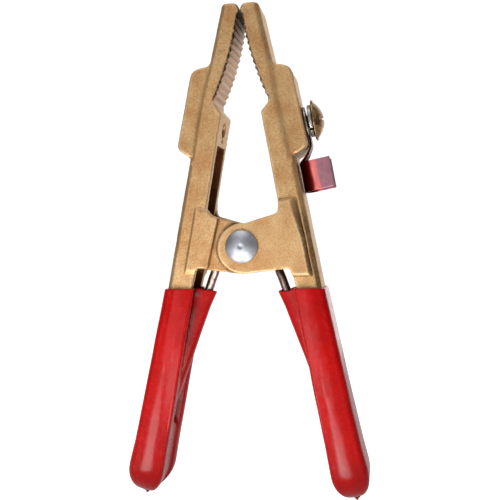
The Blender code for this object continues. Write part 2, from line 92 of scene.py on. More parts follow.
# Terminal, as in the CAD model
SHOULDER_ANGLE = radians(11.4)
SHOULDER_POINT = (27.45, 58.8)
SCREW_ANGLE = radians(8.5)
SCREW_POINT = (27.75, 57.0)
SCREW_RADIUS = 3.2
SCREW_HEAD_RADIUS = 9.45
SCREW_HEAD_HEIGHT = 4.9
WASHER_RADIUS = 7.45
WASHER_HOLE_RADIUS = 4.3
WASHER_SEAT = 2.1
WASHER_THICKNESS = 1.8
LUG_THICKNESS = 1.0
LUG_RING_RADIUS = 7.0
BARREL_RADIUS = 6.0
BARREL_START = -20.2
BARREL_LENGTH = 13.8
BARREL_FLOOR = -5.9
BARREL_HEIGHT = 13.9
BAR_ANGLE = radians(10.1)
SCREW_TIP = -14.0
THREAD_END = -12.6
THREAD_PITCH = 1.25
THREAD_DEPTH = 0.55

# Levers, as in the CAD model
LEVER_HALF_DEPTH = 12.0
SHOULDER_STEP = 0.8       # how much deeper a lever's sides lie at the shoulder
SHOULDER_FOOT = 38.4
PANEL_STEP = 2.3          # how far the outer ear's panel stands out
PANEL_FOOT = -13.8
WEB_STEP = 0.8            # how far the inner ear's raised web stands out
WEB_FOOT = -12.6
EAR_DROP = 0.7
FACE_TOP = (0.3, 106.4)
FACE_SLOPE = 0.14
FACE_CURVE = 0.004

# Skin of the visual model
LEVER_VOXEL = 0.45
LUG_VOXEL = 0.2
MOUTH_DIP = 1.8           # of a sleeve's rim, over the open side
MOUTH_DIP_LENGTH = 9

# Grips, as in the CAD model
MOUTH_DEPTH = 18.9
SLEEVE_WALL = 1.0
GRIP_HALF_DEPTH = 13.6
GRIP_BULGE = 0.8
FILM_HALF_WIDTH = 6.9
RIDGE_HALF_WIDTH = 4.6
ROUND_START = 101.8
ROUND_LENGTH = 12.8
END_TILT = 0.21
GRIP_END_DEPTH = 116.6


# ---- meshes ----

def to_row(points):
    """Millimetre points round the hinge as row-frame metres."""
    found = np.asarray(points, float) * MM
    found[:, 2] += HINGE_HEIGHT * MM
    return found


def half_turn(points):
    """The same points on the left side of the clamp."""
    return np.asarray(points, float) * np.array([-1.0, -1.0, 1.0])


def new_object(name, data):
    """An object in the scene for a mesh, a light or a camera."""
    found = bpy.data.objects.new(name, data)
    bpy.context.scene.collection.objects.link(found)
    return found


def new_piece(name, points, faces, smooth_angle=None):
    """A mesh object from millimetre points, shaded smooth, and sharp past an angle in degrees."""
    mesh = bpy.data.meshes.new(name)
    mesh.from_pydata([tuple(p) for p in to_row(points)], [], faces)
    mesh.validate()
    work = bmesh.new()
    work.from_mesh(mesh)
    bmesh.ops.recalc_face_normals(work, faces=work.faces)
    work.to_mesh(mesh)
    work.free()
    mesh.shade_smooth()
    if smooth_angle:
        mesh.set_sharp_from_angle(angle=radians(smooth_angle))
    return new_object(name, mesh)


def apply_modifiers(piece):
    """Turn a piece's modifiers into its mesh."""
    bpy.context.view_layer.update()
    graph = bpy.context.evaluated_depsgraph_get()
    mesh = bpy.data.meshes.new_from_object(piece.evaluated_get(graph))
    piece.modifiers.clear()
    old = piece.data
    piece.data = mesh
    bpy.data.meshes.remove(old)


def voxel_skin(piece, size):
    """Rebuild a piece as an even mesh, with cells of a size in millimetres."""
    remesh = piece.modifiers.new("skin", "REMESH")
    remesh.mode = "VOXEL"
    remesh.voxel_size = size * MM
    apply_modifiers(piece)


def coordinates(mesh):
    """A mesh's vertices as an array."""
    found = np.zeros(len(mesh.vertices) * 3)
    mesh.vertices.foreach_get("co", found)
    return found.reshape(-1, 3)


def set_coordinates(mesh, points):
    """Write an array back to a mesh's vertices."""
    mesh.vertices.foreach_set("co", np.asarray(points).reshape(-1))
    mesh.update()


def edge_ends(mesh):
    """The two vertex numbers of every edge."""
    ends = np.zeros(len(mesh.edges) * 2, int)
    mesh.edges.foreach_get("vertices", ends)
    return ends.reshape(-1, 2).T


def degrees(ends, count):
    """How many edges meet at each vertex."""
    return np.maximum(np.bincount(ends.reshape(-1), minlength=count), 1)


def neighbour_means(values, ends, degree):
    """Mean of each vertex's neighbours."""
    first, second = ends
    found = np.empty_like(values)
    for axis in range(values.shape[1]):
        total = np.bincount(first, values[second, axis], len(values))
        total += np.bincount(second, values[first, axis], len(values))
        found[:, axis] = total / degree
    return found


def averaged(values, rounds, ends, degree):
    """Values spread to their neighbours for some rounds."""
    for _ in range(rounds):
        values = neighbour_means(values, ends, degree)
    return values


def relax(points, ends, rounds, pull=0.5, push=-0.52):
    """Soften a mesh's edges without shrinking it."""
    degree = degrees(ends, len(points))
    for _ in range(rounds):
        for weight in (pull, push):
            points = points + weight * (neighbour_means(points, ends, degree) - points)
    return points


def normals(mesh):
    """Vertex normals as an array."""
    found = np.zeros(len(mesh.vertices) * 3, np.float32)
    mesh.vertex_normals.foreach_get("vector", found)
    return found.reshape(-1, 3).astype(float)


def store(mesh, name, values):
    """Keep one number for each vertex, for the material to read."""
    layer = mesh.attributes.new(name, "FLOAT", "POINT")
    layer.data.foreach_set("value", np.asarray(values, np.float32))


def inside_box(points, node):
    """Points in metres, held inside a CAD node's box."""
    low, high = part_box(node)
    return np.clip(points, np.array(low), np.array(high))


def lumps(points, size, seed):
    """Smooth noise from -1 to 1 at points in metres, with lumps about size millimetres across."""
    scale = 1 / (size * MM)
    shift = Vector((seed * 3.1, seed * 1.7, seed * 0.9))
    return np.array([noise.noise(Vector(p) * scale + shift) for p in points])


def skin(rows):
    """Faces between rows of the same number of points, each row a closed ring."""
    count = len(rows[0])
    faces = []
    for r in range(len(rows) - 1):
        for i in range(count):
            j = (i + 1) % count
            faces.append((r * count + i, r * count + j, (r + 1) * count + j, (r + 1) * count + i))
    return faces


def turned(name, profile, steps=96, closed=False, smooth_angle=40):
    """A body turned about Z from (radius, height) points. A radius of 0 is at either end only."""
    points = []
    faces = []
    rings = []
    for radius, height in profile:
        start = len(points)
        if radius == 0:
            points.append((0, 0, height))
            rings.append([start] * steps)
            continue
        for i in range(steps):
            turn = 2 * pi * i / steps
            points.append((radius * cos(turn), radius * sin(turn), height))
        rings.append(list(range(start, start + steps)))
    pairs = list(zip(rings, rings[1:]))
    if closed:
        pairs.append((rings[-1], rings[0]))
    for upper, lower in pairs:
        for i in range(steps):
            j = (i + 1) % steps
            face = [upper[i], upper[j], lower[j], lower[i]]
            face = [v for n, v in enumerate(face) if v not in face[:n]]
            if len(face) > 2:
                faces.append(face)
    return new_piece(name, points, faces, smooth_angle)


def stand(piece, matrix):
    """Move a finished mesh, drawn round the hinge, by a matrix in millimetres."""
    lift = Matrix.Translation((0, 0, HINGE_HEIGHT * MM))
    scaled = matrix.copy()
    scaled.translation = matrix.translation * MM
    piece.data.transform(lift @ scaled @ lift.inverted())
    return piece


def aimed(point, angle):
    """Matrix that turns a body's Z axis to tilt up from +X, at an X-Z point."""
    return Matrix.Translation((point[0], 0, point[1])) @ Matrix.Rotation(pi / 2 - angle, 4, "Y")


def along(point, angle, out, up):
    """The X-Z point that lies out along a tilted axis and up across it."""
    return (
        point[0] + out * cos(angle) - up * sin(angle),
        point[1] + out * sin(angle) + up * cos(angle),
    )


# ---- materials ----

def srgb(red, green, blue):
    """A screen colour from 0 to 255 as linear light."""
    found = []
    for value in (red, green, blue):
        v = value / 255
        found.append(v / 12.92 if v <= 0.04045 else ((v + 0.055) / 1.055) ** 2.4)
    return (*found, 1.0)


class Graph:
    """A node tree under construction, with short calls for the nodes that it uses."""

    def __init__(self, tree, place):
        self.tree = tree
        self.place = self.node("ShaderNodeTexCoord").outputs[place]

    def node(self, kind, **settings):
        found = self.tree.nodes.new(kind)
        for key, value in settings.items():
            setattr(found, key, value)
        return found

    def link(self, source, target):
        self.tree.links.new(source, target)

    def noise(self, size, detail, rough):
        """Noise from 0 to 1 with grains about size millimetres across."""
        found = self.node("ShaderNodeTexNoise")
        found.inputs["Scale"].default_value = 1 / (size * MM)
        found.inputs["Detail"].default_value = detail
        found.inputs["Roughness"].default_value = rough
        self.link(self.place, found.inputs["Vector"])
        return found.outputs["Fac"]

    def cells(self, size):
        """Distance to the middle of the nearest cell, with cells about size millimetres across."""
        found = self.node("ShaderNodeTexVoronoi", feature="F1")
        found.inputs["Scale"].default_value = 1 / (size * MM)
        self.link(self.place, found.inputs["Vector"])
        return found.outputs["Distance"]

    def attribute(self, name):
        """A number that store() kept for each vertex."""
        found = self.node("ShaderNodeAttribute", attribute_name=name)
        return found.outputs["Fac"]

    def axis(self, letter):
        """The place's X, Y or Z."""
        found = self.node("ShaderNodeSeparateXYZ")
        self.link(self.place, found.inputs[0])
        return found.outputs[letter]

    def span(self, value, low, high, start=0.0, end=1.0):
        """Map a value from one range to another, without going past its ends."""
        found = self.node("ShaderNodeMapRange", interpolation_type="SMOOTHSTEP")
        self.link(value, found.inputs["Value"])
        for key, number in (("From Min", low), ("From Max", high), ("To Min", start), ("To Max", end)):
            found.inputs[key].default_value = number
        return found.outputs[0]

    def math(self, operation, a, b):
        """One sum with two values, each a number or a socket."""
        found = self.node("ShaderNodeMath", operation=operation)
        for socket, value in zip(found.inputs, (a, b)):
            if isinstance(value, (int, float)):
                socket.default_value = value
            else:
                self.link(value, socket)
        return found.outputs[0]

    def times(self, a, b):
        """Product of two values."""
        return self.math("MULTIPLY", a, b)

    def mix(self, share, a, b, blend="MIX"):
        """Mix two colours, each a colour or a socket, by a share that is a number or a socket."""
        found = self.node("ShaderNodeMix", data_type="RGBA", blend_type=blend)
        for socket, value in ((found.inputs[0], share), (found.inputs[6], a), (found.inputs[7], b)):
            if hasattr(value, "links"):
                self.link(value, socket)
            else:
                socket.default_value = value
        return found.outputs[2]

    def ramp(self, value, stops):
        """A colour for a value, from (position, colour) stops."""
        found = self.node("ShaderNodeValToRGB")
        band = found.color_ramp
        while len(band.elements) < len(stops):
            band.elements.new(0.5)
        for element, (position, color) in zip(band.elements, stops):
            element.position = position
            element.color = color
        self.link(value, found.inputs[0])
        return found.outputs[0]


class Paint(Graph):
    """A material under construction."""

    def __init__(self, name, roughness, metallic):
        self.material = bpy.data.materials.new(name)
        self.material.use_nodes = True
        super().__init__(self.material.node_tree, "Object")
        self.shader = self.tree.nodes["Principled BSDF"]
        self.shader.inputs["Roughness"].default_value = roughness
        self.shader.inputs["Metallic"].default_value = metallic

    def color(self, socket):
        self.link(socket, self.shader.inputs["Base Color"])

    def rough(self, socket):
        self.link(socket, self.shader.inputs["Roughness"])

    def bump(self, height, depth, after=None):
        """Bump of a depth in millimetres for heights from 0 to 1."""
        found = self.node("ShaderNodeBump")
        found.inputs["Strength"].default_value = 1.0
        found.inputs["Distance"].default_value = depth * MM
        self.link(height, found.inputs["Height"])
        if after:
            self.link(after, found.inputs["Normal"])
        self.link(found.outputs[0], self.shader.inputs["Normal"])
        return found.outputs[0]


def cast_brass():
    """Sand-cast brass: tan and grainy, with painted shade in its channel and inner corners, and a little
    lighter on its edges, as wear and a painted highlight.
    """
    paint = Paint("cast_brass", 0.5, 0.8)
    grain = paint.noise(0.65, 4.0, 0.75)
    blotch = paint.noise(9.0, 3.0, 0.5)
    speck = paint.cells(0.8)
    tan_color = paint.ramp(grain, [(0.25, srgb(140, 104, 62)), (0.45, srgb(196, 158, 110)),
                                   (0.60, srgb(208, 174, 127)), (0.80, srgb(240, 212, 168))])
    dirt = paint.ramp(blotch, [(0.35, srgb(222, 190, 158)), (0.62, srgb(255, 255, 255))])
    color = paint.mix(0.6, tan_color, dirt, "MULTIPLY")
    pit = paint.span(speck, 0.05, 0.32, 1.0, 0.0)
    color = paint.mix(paint.times(pit, 0.36), color, srgb(116, 76, 38))
    toothed = paint.attribute("teeth")
    color = paint.mix(paint.times(toothed, 0.65), color, srgb(194, 158, 130))

    # Edges are lighter, as wear and a painted highlight. Inner corners get painted shade, but less so
    # between the lower teeth.
    edge_wear_and_shade = paint.attribute("edge_wear_and_shade")
    color = paint.mix(paint.span(edge_wear_and_shade, 0.2, 0.9, 0.0, 0.3), color, srgb(240, 210, 168))
    deep = paint.span(edge_wear_and_shade, -0.15, -0.8, 0.0, 0.9)
    pale = paint.times(toothed, paint.span(paint.axis("Z"), 0.1, 0.082))
    deep = paint.times(deep, paint.math("SUBTRACT", 1.0, paint.times(pale, 0.65)))
    color = paint.mix(deep, color, srgb(58, 30, 12))

    # Painted shade along edges, on the uppermost teeth and in the channel
    broken = paint.span(paint.noise(1.3, 2.0, 0.6), 0.36, 0.54, 0.35, 1.0)
    color = paint.mix(paint.times(paint.attribute("painted_shade"), broken), color, srgb(58, 26, 8))
    nose = paint.times(toothed, paint.span(paint.axis("Z"), 0.092, 0.112))
    color = paint.mix(paint.times(nose, 0.8), color, srgb(40, 22, 10))
    channel_shade = paint.attribute("channel_shade")
    color = paint.mix(paint.times(channel_shade, 0.86), color, srgb(112, 58, 24))
    paint.color(color)
    paint.rough(paint.span(grain, 0.3, 0.7, 0.62, 0.42))
    first = paint.bump(grain, 0.11)
    paint.bump(pit, -0.06, first)
    return paint.material


def zinc(name, dark, light, roughness, size=1.4):
    """Plated steel from a dark to a light shade, in patches about size millimetres across."""
    paint = Paint(name, roughness, 1.0)
    mottle = paint.noise(size, 4.0, 0.6)
    fine = paint.noise(0.35, 2.0, 0.5)
    paint.color(paint.ramp(mottle, [(0.3, dark), (0.7, light)]))
    paint.rough(paint.span(fine, 0.3, 0.7, roughness - 0.05, roughness + 0.07))
    paint.bump(fine, 0.004)
    return paint.material


def red_vinyl():
    """Dip-moulded vinyl: glossy red with slight waves, small marks and painted shade in its folds."""
    paint = Paint("red_vinyl", 0.2, 0.0)
    wave = paint.noise(9.0, 2.0, 0.5)
    fine = paint.noise(2.2, 2.0, 0.5)
    color = paint.ramp(wave, [(0.3, srgb(156, 7, 7)), (0.7, srgb(172, 9, 9))])
    mark = paint.span(paint.cells(5.2), 0.02, 0.07, 1.0, 0.0)
    color = paint.mix(paint.times(mark, 0.4), color, srgb(120, 8, 8))
    # Painted shade in the film's valleys and in the folds near the mouth
    fold_shade = paint.span(paint.attribute("valley"), 0.0, 1.0, 0.0, 0.9)
    color = paint.mix(fold_shade, color, srgb(70, 0, 0))
    paint.color(color)
    paint.rough(paint.span(fine, 0.3, 0.7, 0.21, 0.3))
    first = paint.bump(wave, 0.12)
    paint.bump(fine, 0.006, first)
    paint.shader.inputs["Specular IOR Level"].default_value = 0.18
    return paint.material


def bronze():
    """Yellow-passivated screw, mottled from dark to light."""
    paint = Paint("bronze_screw", 0.32, 1.0)
    mottle = paint.noise(1.6, 4.0, 0.6)
    fine = paint.noise(0.4, 2.0, 0.5)
    color = paint.ramp(mottle, [(0.3, srgb(104, 76, 50)), (0.55, srgb(160, 126, 90)),
                                (0.75, srgb(206, 176, 136))])
    paint.color(color)
    paint.rough(paint.span(fine, 0.3, 0.7, 0.26, 0.42))
    paint.bump(fine, 0.03)
    return paint.material


def tinted_copper():
    """Lug: tinned ring, a neck in painted shade, and a heat-tinted barrel, pink to grey, with painted
    shade in its dark red bend and a painted highlight in a bright pink band.
    """
    paint = Paint("tinted_copper", 0.3, 1.0)
    patch = paint.noise(4.0, 2.0, 0.5)
    fine = paint.noise(0.6, 3.0, 0.6)

    # Places in the shoulder's own directions: out from its face, and up along it
    tilt = paint.node("ShaderNodeMapping", vector_type="POINT")
    tilt.inputs["Rotation"].default_value = (0, SHOULDER_ANGLE, 0)
    paint.link(paint.place, tilt.inputs["Vector"])
    split = paint.node("ShaderNodeSeparateXYZ")
    paint.link(tilt.outputs[0], split.inputs[0])
    out = split.outputs["X"]
    up = split.outputs["Z"]
    x, z = SHOULDER_POINT[0] * MM, (SHOULDER_POINT[1] + HINGE_HEIGHT) * MM
    face = x * cos(SHOULDER_ANGLE) + z * sin(SHOULDER_ANGLE)
    level = z * cos(SHOULDER_ANGLE) - x * sin(SHOULDER_ANGLE)

    def above(value, start, low, high):
        """0 to 1 from low to high millimetres past a start in metres."""
        return paint.span(value, start + low * MM, start + high * MM)

    wing = paint.ramp(patch, [(0.3, srgb(168, 126, 134)), (0.5, srgb(196, 132, 150)),
                              (0.7, srgb(160, 134, 132))])
    aged = paint.span(out, face + 5.5 * MM, face + 9.5 * MM, 0.0, 0.75)
    wing = paint.mix(aged, wing, srgb(150, 122, 116))
    wobble = paint.times(paint.math("SUBTRACT", patch, 0.5), 1.6 * MM)
    out = paint.math("ADD", out, wobble)
    # A painted highlight in a bright pink band where the bend turns into the wing, and painted shade in
    # the dark red bend beside the casting and on the brown-red neck
    band = paint.mix(above(out, face, 0.6, 2.4), srgb(255, 142, 140), wing)
    bend = paint.mix(above(out, face, -2.0, 0.2), srgb(96, 14, 9), band)
    neck = paint.mix(above(up, level, -18.5, -16.8), bend, srgb(86, 40, 30))
    ring = paint.mix(above(up, level, -9.6, -8.2), neck, srgb(178, 172, 162))
    color = paint.mix(paint.span(fine, 0.35, 0.75, 0.0, 0.22), ring, srgb(70, 30, 28))
    paint.color(color)
    paint.rough(paint.span(fine, 0.3, 0.7, 0.34, 0.46))
    paint.bump(fine, 0.01)
    return paint.material


# ---- levers ----

def line_x(height, *points):
    """X on a line of (x, z) points, top first, at heights."""
    xs, zs = zip(*reversed(points))
    return np.interp(height, zs, xs)


def soft(values):
    """Smooth step from 0 to 1, of a number or an array."""
    t = np.clip(values, 0, 1)
    return t * t * (3 - 2 * t)


def shoulder_relief(x, y, z, flat):
    """The sides lie deeper round the terminal, beyond a long ridge with a soft ramp."""
    front_ridge = line_x(z, (7.9, 94.0), (10.0, 86.8), (12.1, 80.6), (14.1, 67.6), (15.3, 62.0),
                         (19.7, 42.0), (20.8, 36.0))
    back_ridge = line_x(z, (9.4, 94.0), (11.4, 87.2), (13.1, 80.4), (15.0, 73.5), (16.5, 68.0),
                        (19.2, 54.5), (21.2, 42.0), (22.2, 36.0))
    ramp = np.where(y < 0, soft((x - front_ridge) / 3.7), soft((x - back_ridge) / 1.9))
    side = LEVER_HALF_DEPTH - SHOULDER_STEP * ramp * soft((z - 37.9) / 3.0)
    step = line_x(z, (12.0, 84.5), (16.5, 68.0), (21.6, 42.0), (23.4, SHOULDER_FOOT))
    near = (np.abs(x - step) < 0.8) | ((np.abs(z - SHOULDER_FOOT) < 0.7) & (x > 22.8))
    depth = np.abs(y)
    zone = (z > 37.7) & (z < 86.0) & (x > 10.5) & (depth > 11.0) & (depth < 12.1)
    return np.where(zone & (flat | near), np.where(y < 0, -side, side), y)


def panel_relief(x, y, z, flat):
    """The outer ear's panel stands out from the front side."""
    right = line_x(z, (24.9, 22.5), (32.0, PANEL_FOOT))
    top = np.interp(x, (17.0, 24.9), (21.5, 22.5))
    width = np.interp(z, (4.0, 17.0), (1.2, 3.4))
    rise = np.minimum(soft((right - 0.3 - x) / width), soft((top - z) / 2.0))
    rise = np.minimum(rise, soft((z - PANEL_FOOT) / 1.0))
    near = (np.abs(x - right) < 0.9) | (np.abs(z - top) < 0.9) | (np.abs(z - PANEL_FOOT) < 0.9)
    depth = -y
    zone = (z > -14.7) & (z < 23.4) & (x > 15.5) & (x < right + 0.9) & (depth > 11.9)
    zone &= flat | near | (x < 17.6)
    inside = zone & (z > PANEL_FOOT)
    y = np.where(inside, -(LEVER_HALF_DEPTH + PANEL_STEP * rise), y)
    return np.where(zone & ~inside & (depth > LEVER_HALF_DEPTH), -LEVER_HALF_DEPTH, y)


def web_relief(x, y, z, flat):
    """The inner ear's raised web stands out from the back side."""
    right = line_x(z, (21.9, 18.4), (27.6, WEB_FOOT))
    top = np.interp(x, (16.8, 21.9), (17.6, 18.4))
    rise = np.minimum(soft((right - x) / 0.9), soft((top - z) / 1.6))
    rise = np.minimum(rise, soft((z - WEB_FOOT) / 2.5))
    near = (np.abs(x - right) < 0.8) | (np.abs(z - top) < 0.8) | (np.abs(z - WEB_FOOT) < 0.8)
    zone = (y > 11.8) & (y < 13.0) & (z > -13.4) & (z < 19.3) & (x > 16.0) & (x < right + 0.8)
    return np.where(zone & (flat | near), LEVER_HALF_DEPTH + WEB_STEP * rise, y)


def relief(local, facing):
    """Soft ramps where the casting's flat sides step up and down. Millimetres, right-lever frame."""
    x, y, z = local.T
    flat = np.abs(facing[:, 1]) > 0.5
    for shape in (shoulder_relief, panel_relief, web_relief):
        y = shape(x, y, z, flat)
    return np.stack([x, y, z], 1)


def edges_and_corners(points, facing, ends, degree):
    """How far each vertex stands above a broader skin: 1 on an edge, painted lighter as wear and a
    painted highlight, -1 in an inner corner, which gets painted shade.
    """
    broad = points
    for _ in range(6):
        broad = broad + 0.6 * (neighbour_means(broad, ends, degree) - broad)
    height = ((points - broad) * facing).sum(1)[:, None] / (0.13 * MM)
    return averaged(height, 3, ends, degree)[:, 0]


def painted_shade_at(local, facing):
    """Painted shade along the teeth's ends and on the front's outer bevel, and a painted shadow in a ring
    on the inner ear.
    """
    x, y, z = local.T
    down = FACE_TOP[1] - z
    beyond = x - (FACE_TOP[0] + FACE_SLOPE * down + FACE_CURVE * down * down)
    painted_shade = soft((1.75 - beyond) / 0.8) * soft((np.abs(y) - 10.3) / 0.9)
    painted_shade = painted_shade * soft(down / 3) * soft((40.5 - down) / 2)
    reach = np.hypot(x, z + EAR_DROP)
    ear_side = (y > 10.1) & (y < 11.3) & (facing[:, 1] > 0.5)
    painted_shade = np.maximum(painted_shade, 0.75 * ear_side * soft((13.3 - reach) / 1.3))
    slant = (facing[:, 0] > 0.35) & (facing[:, 1] < -0.35) & (x > 20)
    return np.maximum(painted_shade, 0.5 * slant * soft((19 - z) / 8))


def cast_lever(name, node, seed):
    """A lever's CAD solid with the soft edges, waves and grain of a sand casting."""
    piece = new_object(name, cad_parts[node].data.copy())
    voxel_skin(piece, LEVER_VOXEL)
    mesh = piece.data
    ends = edge_ends(mesh)
    degree = degrees(ends, len(mesh.vertices))
    side = 1.0 if node == "right_lever" else -1.0
    turn = np.array([side, side, 1.0])
    lift = np.array([0, 0, HINGE_HEIGHT])

    # Soften the edges and the steps, and the upper half once more, except for its teeth
    points = relax(coordinates(mesh), ends, 3)
    local = relief(points * turn / MM - lift, normals(mesh) * turn)
    points = relax((local + lift) * turn * MM, ends, 8)
    set_coordinates(mesh, points)
    x, y, z = (points * turn / MM - lift).T
    crisp = (-normals(mesh)[:, 0] * side > 0.2) & (z > 64.5) & (x < 14.0)
    share = averaged((soft((z - 24.0) / 6.0) * ~crisp)[:, None], 6, ends, degree)
    points = points + share * (relax(points, ends, 26, push=-0.5) - points)
    set_coordinates(mesh, points)

    # Wear, painted highlights and painted shade for the material. The step beside the inner ear gets less
    # of the edge lightening and the corner shade.
    facing = normals(mesh)
    edge_wear_and_shade = edges_and_corners(points, facing, ends, degree)
    local = points * turn / MM - lift
    x, y, z = local.T
    beside_ear = (y > 9.5) & (x < 18) & (z < 22) & (z > -14)
    edge_wear_and_shade = np.where(beside_ear, 0.45, 1.0) * edge_wear_and_shade
    teeth = (-facing[:, 0] * side > 0.2) & (z > 65.5) & (x < 13.2)
    outside = line_x(z, (22.2, 46.4), (25.7, 21.6), (29.0, 3.4), (33.1, -18.0), (49.5, -100.0))
    # Painted shade inside the channel, away from the outer face
    channel_shade = (np.abs(y) < 8.2) & (z < 46.6) & (x > 2) & (x < outside)
    for key, values in (("edge_wear_and_shade", np.clip(edge_wear_and_shade, -1, 1)), ("teeth", teeth), ("channel_shade", channel_shade),
                        ("painted_shade", painted_shade_at(local, facing * turn))):
        store(mesh, key, values)

    # Waves from the sand mould, with finer ones that are weak on the teeth
    waves = 0.10 * lumps(points, 7.0, seed) + 0.05 * lumps(points, 1.6, seed + 4) * (1.0 - 0.8 * teeth)
    set_coordinates(mesh, inside_box(points + facing * (waves * MM)[:, None], node))
    mesh.shade_smooth()
    return piece


# ---- hinge ----

def dome(radius, height, base, steps):
    """Profile of a low dome, from its top down to its rim."""
    ball = (radius * radius + height * height) / (2 * height)
    reach = atan2(radius, ball - height)
    turns = [reach * i / steps for i in range(steps + 1)]
    return [(ball * sin(turn), base + height - ball + ball * cos(turn)) for turn in turns]


def make_rivet():
    """Rivet with a domed head on each end, a dimple in each and a rounded rim."""
    seat = OUTER_EAR_FACE + GAP
    rim = 0.7
    dimple_radius = 1.25
    dimple_depth = 0.42
    head = []
    for radius, height in dome(RIVET_HEAD_RADIUS - 0.15, RIVET_HEAD_HEIGHT - rim, seat + rim, 22):
        head.append((radius, height - dimple_depth * max(0.0, 1 - (radius / dimple_radius) ** 2)))
    head += [(RIVET_HEAD_RADIUS, seat + rim - 0.3), (RIVET_HEAD_RADIUS, seat + 0.3),
             (RIVET_HEAD_RADIUS - 0.25, seat), (SHANK_RADIUS, seat)]
    rivet = turned("rivet", head + [(r, -h) for r, h in reversed(head)])
    return stand(rivet, Matrix.Rotation(pi / 2, 4, "X"))


def make_bush():
    """Steel tube with chamfered ends."""
    half = INNER_EAR_FACE - GAP
    hole = SHANK_RADIUS + GAP
    end = [(hole, half - 0.3), (hole + 0.3, half), (BUSH_RADIUS - 0.4, half), (BUSH_RADIUS, half - 0.4)]
    bush = turned("bush", end + [(r, -h) for r, h in reversed(end)], 64, closed=True)
    return stand(bush, Matrix.Rotation(pi / 2, 4, "X"))


def leg_point(depth):
    """Distance out from the middle plane of a leg's line at a depth below the hinge."""
    return LEG_OFFSET / cos(LEG_ANGLE) + depth * tan(LEG_ANGLE)


def leg_side(depth):
    """How far a leg's centre lies from the middle of its channel, at a depth below the hinge."""
    return LEG_SIDE * max(0.0, min(1.0, (LEG_END_DEPTH - depth) / (LEG_END_DEPTH - 20.0)))


def spring_path():
    """Centre line from the left leg's end, twice round the hinge and down the right leg."""
    knee_depth = 12.0
    knee = (leg_point(knee_depth), -knee_depth)
    reach = hypot(*knee)
    tangent = atan2(knee[1], knee[0]) + atan2(sqrt(reach * reach - COIL_RADIUS ** 2), COIL_RADIUS)
    sweep = pi - 2 * tangent + 2 * pi * COIL_TURNS_OVER_TOP
    half_width = COIL_PITCH * sweep / (2 * pi) / 2
    leg = [(leg_point(d), leg_side(d), -d) for d in (LEG_END_DEPTH, 68.0, 52.0, 36.0, 20.0)]
    leg += [(leg_point(14.5), LEG_SIDE + 0.7, -14.5), (knee[0] - 0.2, LEG_SIDE + 1.2, -knee_depth),
            (knee[0] - 1.3, LEG_SIDE + 1.8, -9.0)]
    left = [(-x, -y, z) for x, y, z in leg]
    steps = 56
    coil = []
    for i in range(steps + 1):
        turn = pi - tangent - sweep * i / steps
        across = -half_width + 2 * half_width * i / steps
        coil.append((COIL_RADIUS * cos(turn), across, COIL_RADIUS * sin(turn)))
    return left + coil + leg[::-1]


def flowing(path, step):
    """Points about a step apart on a smooth curve through a path."""
    points = [np.array(p, float) for p in path]
    points = [2 * points[0] - points[1]] + points + [2 * points[-1] - points[-2]]
    found = []
    for i in range(1, len(points) - 2):
        a, b, c, d = points[i - 1:i + 3]
        count = max(2, round(np.linalg.norm(c - b) / step))
        for n in range(count):
            t = n / count
            found.append(0.5 * (2 * b + (c - a) * t + (2 * a - 5 * b + 4 * c - d) * t * t
                                + (3 * b - a - 3 * c + d) * t ** 3))
    found.append(points[-2])
    return found


def tube(name, path, radius, sides):
    """A round wire along points, with flat ends."""
    path = [Vector(p) for p in path]
    count = len(path)
    tangents = [(path[min(i + 1, count - 1)] - path[max(i - 1, 0)]).normalized() for i in range(count)]
    across = tangents[0].orthogonal().normalized()
    rings = []
    for i in range(count):
        across = (across - tangents[i] * across.dot(tangents[i])).normalized()
        other = tangents[i].cross(across)
        rings.append([path[i] + radius * (cos(2 * pi * k / sides) * across
                                          + sin(2 * pi * k / sides) * other) for k in range(sides)])
    points = [tuple(p) for ring in rings for p in ring]
    faces = skin(rings)
    for end, ring in ((0, 0), (count - 1, (count - 1) * sides)):
        points.append(tuple(path[end]))
        for k in range(sides):
            faces.append((ring + k, ring + (k + 1) % sides, len(points) - 1))
    return new_piece(name, points, faces, 60)


# ---- grips ----

def smooth(value, low, high):
    """0 below low, 1 above high, with a soft change between."""
    return soft((value - low) / (high - low))


def grip_outer(depth):
    """X of a grip's back at a depth below the hinge."""
    return np.interp(depth, (MOUTH_DEPTH, 70.0, 99.0, 120.0), (36.9, 47.9, 54.4, 59.0))


def grip_inner(depth):
    """X of a grip's flange edges at a depth below the hinge."""
    return np.interp(depth, (MOUTH_DEPTH, 70.0, 99.0, 120.0), (22.9, 32.2, 38.0, 42.2))


def grip_middle(depth):
    """X halfway through a grip at a depth below the hinge."""
    return (grip_outer(depth) + grip_inner(depth)) / 2


def grip_front(share, depth):
    """The film on the open side, which follows the wire: X at a share of the channel's half width."""
    y = share * FILM_HALF_WIDTH
    along_wire = 1 - smooth(depth, LEG_END_DEPTH - 5, LEG_END_DEPTH + 2)
    valley = 1.0 + 3.3 * along_wire
    wall = 1 - smooth(abs(y), FILM_HALF_WIDTH - 1.7, FILM_HALF_WIDTH)
    floor = grip_inner(depth) + valley * wall
    crest = leg_point(depth) - (WIRE_RADIUS + GAP + SLEEVE_WALL) / cos(LEG_ANGLE)
    ridge = max(0.0, grip_inner(depth) + valley - crest) * along_wire
    spread = min(1.0, abs(y - leg_side(depth)) / RIDGE_HALF_WIDTH)
    return floor - ridge * (1 - spread ** 2.5) ** 0.4


